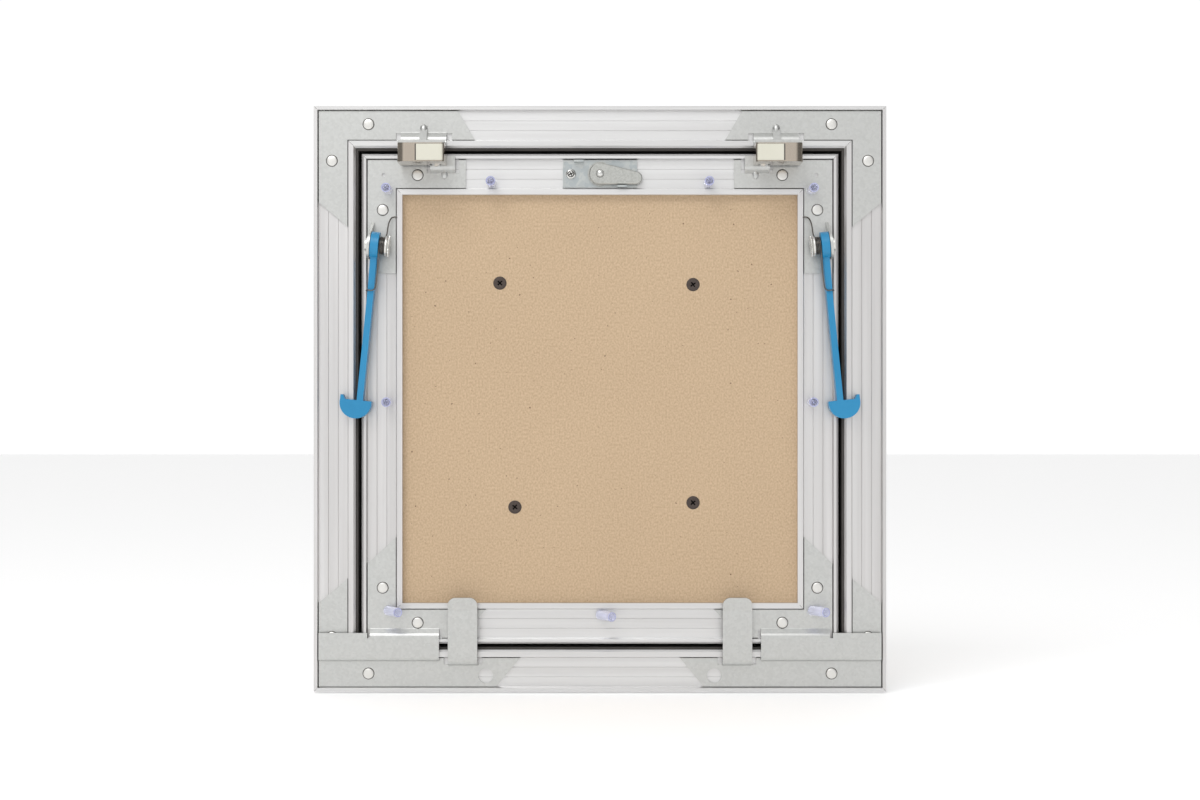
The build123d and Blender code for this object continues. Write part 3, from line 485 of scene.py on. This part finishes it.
def on_panel(model, places, rise, name):
    """Copy a model, whose head is up, to its places on the panel's rear, and join the copies."""
    copies = []
    for x, z, turn in places:
        make_active(model)
        bpy.ops.object.duplicate(linked=False)
        copy = bpy.context.object
        stand = Matrix.Translation((x * mm, -rise * mm, z * mm))
        copy.matrix_world = stand @ Matrix.Rotation(pi / 2, 4, "X") @ Matrix.Rotation(turn, 4, "Z")
        copies.append(copy)
    bpy.data.objects.remove(model)
    return join(copies, name)


def ring(radius, wire, height, sides=40):
    deselect()
    bpy.ops.mesh.primitive_torus_add(major_radius=radius, minor_radius=wire, major_segments=sides,
                                     minor_segments=8, location=(0, 0, height))
    bpy.ops.object.transform_apply(location=True, rotation=True, scale=True)
    rolled = bpy.context.object
    edit(rolled)
    bpy.ops.mesh.select_all(action="SELECT")
    bpy.ops.transform.resize(value=(1, 1, 0.85), center_override=(0, 0, height))
    leave_edit()
    return rolled


def triangles(piece):
    return sum(len(face.vertices) - 2 for face in piece.data.polygons)


print("modelling helpers ready")

# %% [markdown]
# ## Screws
#
# Four black drywall screws hold the boards together. Each has a bugle head, flat on
# top, that lies level with the paper, and a cross recess. Two zinc pan-head screws
# hold the lock's plate.

# %% Drywall screws in the board
board_screw_places = [(-61.4, 71.0, 0.80), (57.1, 70.1, 0.62), (-52.2, -66.4, 0.90), (57.1, -63.7, 0.70)]
head_radius, shank_radius = 4.1 * mm, 1.75 * mm
head_depth, screw_length = 3.2 * mm, 22 * mm

bugle = cone(shank_radius, head_radius, -head_depth, 0.05 * mm)
edit(bugle)
pick_faces(bugle, facing_up)
bpy.ops.mesh.inset(thickness=0.45 * mm, depth=0.1 * mm)
leave_edit()
cut_cross(bugle, 0.15 * mm, 5.4 * mm, 1.25 * mm, 1.9 * mm)
# The walls of the cross recess take the second, darker material as painted shade.
give(bugle, black_phosphate, recess_painted_shade)
paint_recess(bugle, 0.15 * mm, 2.6 * mm, 1.9 * mm)
round_edges(bugle, 0.05 * mm, 2)
shank = cylinder(shank_radius, -screw_length + 3.5 * mm, -head_depth + 0.2 * mm, 20)
point = cone(0.1 * mm, shank_radius, -screw_length, -screw_length + 3.5 * mm, 20)
give(shank, black_phosphate)
give(point, black_phosphate)
screw = join([bugle, shank, point], "drywall_screw")
board_heads = on_panel(screw, board_screw_places, 0, "board_screw_heads")
smooth(board_heads)
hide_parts("board_screws")
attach(board_heads, "leaf")
print(board_heads.name, triangles(board_heads), "triangles")

# %% Pan-head screws of the lock
lock_height = 137.6
lock_screw_places = [(-17.8, lock_height, 0.5), (17.8, lock_height, 0.95)]
lock_face_rise = 2.7
pan_radius = 3.05 * mm

pan = cylinder(pan_radius, 0, 0.7 * mm)
dome(pan, pan_radius, 1.2 * mm, 5)
cut_cross(pan, 1.9 * mm, 4.2 * mm, 1.05 * mm, 1.5 * mm)
# The walls of the cross recess take the second, dark material as painted shade.
give(pan, bright_zinc, dark_seam_and_painted_shade)
paint_recess(pan, 1.9 * mm, 2.0 * mm, 1.5 * mm)
pan_shank = cylinder(1.6 * mm, -12 * mm, 0.2 * mm, 20)
give(pan_shank, bright_zinc)
pan_screw = join([pan, pan_shank], "pan_screw")
lock_heads = on_panel(pan_screw, lock_screw_places, lock_face_rise, "lock_screw_heads")
smooth(lock_heads)
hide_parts("lock_plate_screws")
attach(lock_heads, "leaf")
print(lock_heads.name, triangles(lock_heads), "triangles")

# %% [markdown]
# ## Rivets and the lock's pivot
#
# The corner plates are held by clinched rivets: low round heads, each in a narrow
# groove where the sheet was pressed back. The lever turns on a small peened pin.
# The shade in each groove, and round the pin, is painted as a dark ring.

# %% Clinch rivets
frame_rivet_places = [(sx * x, sz * z, 0) for sx in (-1, 1) for sz in (-1, 1)
                      for x, z in ((141.7, 168.1), (164.1, 145.7))]
leaf_rivet_places = [(sx * x, sz * z, 0) for sx in (-1, 1) for sz in (-1, 1)
                     for x, z in ((111.6, 137.0), (133.0, 115.6))]
plate_face_rise = 3.0
rivet_radius = 3.15 * mm


def clinch_rivet():
    head = cylinder(rivet_radius, 0, 0.45 * mm)
    dome(head, rivet_radius, 0.45 * mm, 6)
    stem = cylinder(1.6 * mm, -3 * mm, 0.2 * mm, 20)
    solid = join([head, stem], "rivet")
    give(solid, rivet_zinc, dark_seam_and_painted_shade)
    # A dark ring round the head paints the shade in the pressed groove.
    groove = ring(rivet_radius + 0.18 * mm, 0.3 * mm, 0)
    give(groove, dark_seam_and_painted_shade)
    return join([solid, groove], "clinch_rivet")


for body, places in (("frame", frame_rivet_places), ("leaf", leaf_rivet_places)):
    rivets = on_panel(clinch_rivet(), places, plate_face_rise, body + "_rivet_heads")
    smooth(rivets)
    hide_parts(body + "_plate_rivets")
    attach(rivets, body)
    print(rivets.name, triangles(rivets), "triangles")

# %% Pivot of the lever
lever_face_rise = 7.3
pivot_radius = 1.85 * mm

pivot = cylinder(pivot_radius, 0, 0.9 * mm, 32)
dome(pivot, pivot_radius, 0.7 * mm, 5)
give(pivot, bright_zinc, dark_seam_and_painted_shade)
# A dark ring round the pin's head paints the shade at its edge.
pivot_groove = ring(2.25 * mm, 0.22 * mm, 0.0, 32)
give(pivot_groove, dark_seam_and_painted_shade)
pivot = join([pivot, pivot_groove], "lever_pivot")
lever_pivot = on_panel(pivot, [(0, lock_height, 0)], lever_face_rise, "lever_pivot")
smooth(lever_pivot)
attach(lever_pivot, "cam")
print(lever_pivot.name, triangles(lever_pivot), "triangles")

# %% [markdown]
# ## Mouths of the clear tubes
#
# A clear sleeve covers the point of each screw that comes through from the room. Its
# wall is nearly invisible; what the eye finds is the cut end, where light is caught
# in the plastic and shows as a thin lilac ring. That ring is painted: an opaque
# torus whose lilac colour stands in for the caught light. Three of the sleeves lean.

# %% Rims of the tubes
tube_length, tube_radius, tube_lean = 15 * mm, 2.9 * mm, radians(29)
plate_seat, rail_seat = 3.0, 1.5
straight_tubes = [(-129.7, 128.0, plate_seat), (129.7, 128.0, plate_seat), (-66.4, 132.2, rail_seat),
                  (66.4, 132.2, rail_seat), (-129.7, -2.0, rail_seat), (129.7, -2.0, rail_seat)]
leaning_tubes = [(-129.7, -129.4, plate_seat), (129.7, -129.4, plate_seat), (0, -132.2, rail_seat)]

rims = []
for lean, tubes in ((0, straight_tubes), (tube_lean, leaning_tubes)):
    for x, z, seat in tubes:
        rim = ring(tube_radius - 0.36 * mm, 0.36 * mm, 0, 28)
        foot = Vector((x * mm, -seat * mm - tube_radius * sin(lean), z * mm))
        mouth = foot + tube_length * Vector((sin(lean), -cos(lean), 0))
        rim.matrix_world = Matrix.Translation(mouth) @ Matrix.Rotation(lean, 4, "Z") @ Matrix.Rotation(pi / 2, 4, "X")
        rims.append(rim)
tube_rims = join(rims, "tube_rims")
# The rims are opaque; their lilac colour paints the light caught in the plastic.
give(tube_rims, tube_rim_painted_light)
smooth(tube_rims, 80)
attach(tube_rims, "leaf")
print(tube_rims.name, triangles(tube_rims), "triangles")

# %% [markdown]
# ## Safety arm springs
#
# Each arm turns on a pin that leans with the arm. A torsion spring is wound round
# the pin: one leg hooks over the leaf's inner lip, the other runs down behind the
# arm and wraps it. The wire is one fixed mesh, bent along a route from behind the
# arm round the coil to the hook over the lip. A toothed washer keeps it on the pin.

# %% Springs and washers
arm_pivot = Vector((136.6, -13.5, 93.4)) * mm
arm_lean = radians(5.7)
wire_radius = 0.42 * mm
coil_radius = 5.1 * mm
coil_low, coil_high = 3.0 * mm, 5.9 * mm
coil_turns = 3.25
clip_drop = 27.6 * mm
points_per_turn = 16


def arm_axes(side):
    """The pin's direction inwards, rearwards, and down the arm, for the left (-1) or right (1)."""
    inwards = Vector((-side * cos(arm_lean), 0, -sin(arm_lean)))
    down = Vector((side * sin(arm_lean), 0, -cos(arm_lean)))
    return inwards, Vector((0, -1, 0)), down


def spring_route(side):
    inwards, rearwards, down = arm_axes(side)
    pivot_place = Vector((side * arm_pivot.x, arm_pivot.y, arm_pivot.z))

    def place(rear, along, across):
        return pivot_place + rearwards * rear + down * along + inwards * across

    route = [place(-4 * mm, clip_drop + 0.4 * mm, -2.5 * mm), place(-0.6 * mm, clip_drop + 0.2 * mm, -2.6 * mm),
             place(0.4 * mm, clip_drop, -1.8 * mm), place(0.6 * mm, clip_drop, 0.8 * mm),
             place(0.9 * mm, clip_drop - 1.2 * mm, 2.4 * mm), place(1.6 * mm, clip_drop - 5 * mm, coil_low)]
    route += [place(coil_radius * 0.8, 8 * mm, coil_low)]
    steps = int(coil_turns * points_per_turn)
    for step in range(steps + 1):
        angle = 2 * pi * step / points_per_turn
        across = coil_low + (coil_high - coil_low) * step / steps
        route.append(place(coil_radius * cos(angle), -coil_radius * sin(angle), across))
    route += [place(-3.0 * mm, -8.0 * mm, coil_high + 0.3 * mm)]
    hook = [(-129.0, 10.6, 105.0), (-128.3, 7.6, 108.6), (-127.2, 5.9, 110.5), (-125.8, 5.1, 111.1), (-124.0, 5.0, 111.1)]
    route += [Vector((-side * x, -rise, z)) * mm for x, rise, z in hook]
    return route


def bent_wire(route, name):
    deselect()
    bpy.ops.curve.primitive_bezier_curve_add()
    wire = bpy.context.object
    wire.name = name
    wire.location = (0, 0, 0)
    line = wire.data.splines[0]
    line.bezier_points.add(len(route) - len(line.bezier_points))
    for knot, place in zip(line.bezier_points, route):
        knot.co = place
        knot.handle_left_type = knot.handle_right_type = "AUTO"
    wire.data.resolution_u = 4
    wire.data.bevel_depth = wire_radius
    wire.data.bevel_resolution = 3
    wire.data.use_fill_caps = True
    make_active(wire)
    bpy.ops.object.convert(target="MESH")
    edit(wire)
    bpy.ops.mesh.select_all(action="SELECT")
    bpy.ops.mesh.remove_doubles(threshold=0.00001)
    bpy.ops.mesh.normals_make_consistent(inside=False)
    leave_edit()
    return wire


def toothed_washer(name, outer=6.5 * mm, inner=5.6 * mm, thickness=0.7 * mm, teeth=22):
    disc = cylinder(outer, 0, thickness, 2 * teeth)
    edit(disc)
    mesh = bmesh.from_edit_mesh(disc.data)
    for face in mesh.faces:
        face.select_set(False)
    bpy.ops.mesh.select_mode(type="VERT")
    for corner in mesh.verts:
        tooth = round(corner.co.to_2d().angle_signed(Vector((1, 0))) / (pi / teeth))
        corner.select_set(tooth % 2 == 0)
    bmesh.update_edit_mesh(disc.data)
    bpy.ops.transform.resize(value=(inner / outer, inner / outer, 1), center_override=(0, 0, 0))
    leave_edit()
    round_edges(disc, 0.08 * mm, 1)
    disc.name = name
    return disc


for side, hand in ((-1, "left"), (1, "right")):
    inwards, rearwards, down = arm_axes(side)
    pivot_place = Vector((side * arm_pivot.x, arm_pivot.y, arm_pivot.z))
    spring = bent_wire(spring_route(side), hand + "_spring_wire")
    give(spring, spring_steel)
    smooth(spring, 60)
    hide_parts("arm_spring_" + hand)
    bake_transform(spring)

    washer = toothed_washer(hand + "_pin_washer")
    washer.matrix_world = Matrix.Translation(pivot_place + inwards * 8.1 * mm) @ Matrix((
        (rearwards.x, down.x, inwards.x, 0), (rearwards.y, down.y, inwards.y, 0),
        (rearwards.z, down.z, inwards.z, 0), (0, 0, 0, 1)))
    washer = join([washer], hand + "_pin_washer")
    edit(washer)
    bpy.ops.mesh.select_all(action="SELECT")
    bpy.ops.mesh.normals_make_consistent(inside=False)
    leave_edit()
    give(washer, bright_zinc)
    smooth(washer, 30)
    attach(washer, "leaf")
    print(spring.name, triangles(spring), "triangles;", washer.name, triangles(washer))

# %% [markdown]
# ## Pressed beads and the latch's seam
#
# A rounded bead stiffens each bend: one over the latch's tab and one under the
# striker's. On the latch a narrow black seam parts the plated nose from the cover.

# %% Beads
def bead(name, x, rise, z, half_width, half_depth, half_height, body):
    deselect()
    bpy.ops.mesh.primitive_uv_sphere_add(segments=28, ring_count=16, radius=1, location=(x * mm, -rise * mm, z * mm))
    lump = bpy.context.object
    lump.scale = (half_width * mm, half_depth * mm, half_height * mm)
    bpy.ops.object.transform_apply(location=True, rotation=True, scale=True)
    edit(lump)
    bpy.ops.mesh.select_all(action="SELECT")
    bpy.ops.mesh.bisect(plane_co=(0, -2.6 * mm, 0), plane_no=(0, -1, 0), use_fill=True, clear_inner=True)
    bpy.ops.mesh.select_all(action="SELECT")
    bpy.ops.mesh.normals_make_consistent(inside=False)
    leave_edit()
    lump.name = name
    give(lump, galvanised)
    smooth(lump, 80)
    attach(lump, body)
    return lump


for side, hand in ((-1, "left"), (1, "right")):
    bead(hand + "_latch_bead", side * 107.8, 4.2, 164.4, 2.3, 2.0, 3.6, "frame")
    bead(hand + "_striker_bead", side * 95.2, 3.2, 137.6, 1.9, 1.3, 3.2, "leaf")

# %% Mitre seams
def mitre_seam(length):
    """A dark hairline across a lip, sunk into the metal but for its top."""
    deselect()
    bpy.ops.mesh.primitive_cube_add(size=1, location=(0, 0, -0.2 * mm))
    line = bpy.context.object
    line.scale = (length * mm, 0.16 * mm, 0.46 * mm)
    bpy.ops.object.transform_apply(location=True, rotation=True, scale=True)
    round_edges(line, 0.03 * mm, 1)
    give(line, dark_seam_and_painted_shade)
    return line


lip_face_rise = 4.5
mitres = [("frame", 173.9, 177.9, 1.9), ("frame", 152.2, 156.2, 4.2), ("leaf", 143.6, 147.6, 2.4), ("leaf", 123.1, 127.1, 3.2)]
for count, (body, x, z, length) in enumerate(mitres):
    places = [(sx * x, sz * z, pi / 4 * sx * sz) for sx in (-1, 1) for sz in (-1, 1)]
    seams = on_panel(mitre_seam(length), places, lip_face_rise, f"{body}_mitre_seams_{count}")
    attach(seams, body)
print("mitre seams added")

# %% Seams of the latches
for side, hand in ((-1, "left"), (1, "right")):
    low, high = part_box("latch_cover_" + hand)
    inner_edge = low[0] + 0.45 * mm if side < 0 else high[0] - 0.45 * mm
    deselect()
    bpy.ops.mesh.primitive_cube_add(size=1, location=(inner_edge, low[1] + 0.42 * mm, (low[2] + high[2]) / 2))
    seam = bpy.context.object
    seam.scale = (0.55 * mm, 0.3 * mm, high[2] - low[2] + 0.1 * mm)
    bpy.ops.object.transform_apply(location=True, rotation=True, scale=True)
    seam.name = hand + "_latch_seam"
    round_edges(seam, 0.08 * mm, 2)
    give(seam, black_plastic)
    smooth(seam)
    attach(seam, "frame")
print("beads and seams added")

# %% [markdown]
# ## Floor, light and camera
#
# The photograph is a cut-out on white: even light from all round, with no hard
# shadow. A bright, nearly white world gives that, one broad lamp from above models
# the edges, and a pale floor stands just under the panel. The camera looks straight
# at the panel's back from about 1.4 m, which is how far the sides of the latches
# and arms turn towards the middle of the picture.

# %% Stage
def stage_material(name, color, glow):
    """Plain and matt, and with a faint glow that makes the floor as white as the studio behind it."""
    material, tree, shader = new_material(name, color, 0.0, 0.9)
    shader.inputs["Emission Color"].default_value = (1, 1, 1, 1)
    shader.inputs["Emission Strength"].default_value = glow
    return material


deselect()
floor_height = cad_box[0][2] - 0.001
bpy.ops.mesh.primitive_plane_add(size=12, location=(0, 0, floor_height))
floor = bpy.context.object
floor.name = "floor"
floor.data.materials.append(stage_material("pale_floor", (0.93, 0.93, 0.93), 0.22))

world = bpy.data.worlds.new("studio") if bpy.context.scene.world is None else bpy.context.scene.world
bpy.context.scene.world = world
world.use_nodes = True
background = world.node_tree.nodes["Background"]
background.inputs["Strength"].default_value = 1.03


def studio_light(tree):
    """White before and behind, darker to the sides and below, so that metal edges show.

    The backdrop itself is plain white: the shading only lights the panel.
    """
    way = tree.nodes.new("ShaderNodeTexCoord")
    parts = tree.nodes.new("ShaderNodeSeparateXYZ")
    tree.links.new(way.outputs["Generated"], parts.inputs["Vector"])
    below = spread(tree, parts.outputs["Z"], dark_below, 1.0, -0.8, -0.1)
    squared = tree.nodes.new("ShaderNodeMath")
    squared.operation = "MULTIPLY"
    tree.links.new(parts.outputs["X"], squared.inputs[0])
    tree.links.new(parts.outputs["X"], squared.inputs[1])
    aside = spread(tree, squared.outputs["Value"], 1.0, dark_aside, 0.1, 0.6)
    to_right = spread(tree, parts.outputs["X"], 1.05, 0.80, -0.5, 0.5)
    light = below
    for share in (aside, to_right):
        product = tree.nodes.new("ShaderNodeMath")
        product.operation = "MULTIPLY"
        tree.links.new(light, product.inputs[0])
        tree.links.new(share, product.inputs[1])
        light = product.outputs["Value"]
    seen = tree.nodes.new("ShaderNodeLightPath")
    shown = tree.nodes.new("ShaderNodeMath")
    shown.operation = "MAXIMUM"
    tree.links.new(light, shown.inputs[0])
    tree.links.new(seen.outputs["Is Camera Ray"], shown.inputs[1])
    return shown.outputs["Value"]


dark_below, dark_aside = 0.30, 0.26
world.node_tree.links.new(studio_light(world.node_tree), background.inputs["Color"])


def softbox(name, place, target, size, power):
    lamp = bpy.data.lights.new(name, "AREA")
    lamp.shape = "RECTANGLE"
    lamp.size, lamp.size_y = size
    lamp.energy = power
    holder = bpy.data.objects.new(name, lamp)
    holder.location = place
    holder.rotation_euler = (Vector(target) - Vector(place)).to_track_quat("-Z", "Y").to_euler()
    bpy.context.scene.collection.objects.link(holder)


softbox("key_light", (-0.6, -1.5, 1.5), (0, 0, 0), (1.2, 1.0), 16)

camera_distance = 1.37
camera_data = bpy.data.cameras.new("camera")
camera_data.lens = 67
camera_data.sensor_width = 36
camera = bpy.data.objects.new("camera", camera_data)
camera.location = (0, -camera_distance, -0.7 * mm)
camera.rotation_euler = (pi / 2, 0, 0)
bpy.context.scene.collection.objects.link(camera)
bpy.context.scene.camera = camera
bpy.context.scene.view_settings.view_transform = "Standard"
print("camera at", tuple(camera.location))
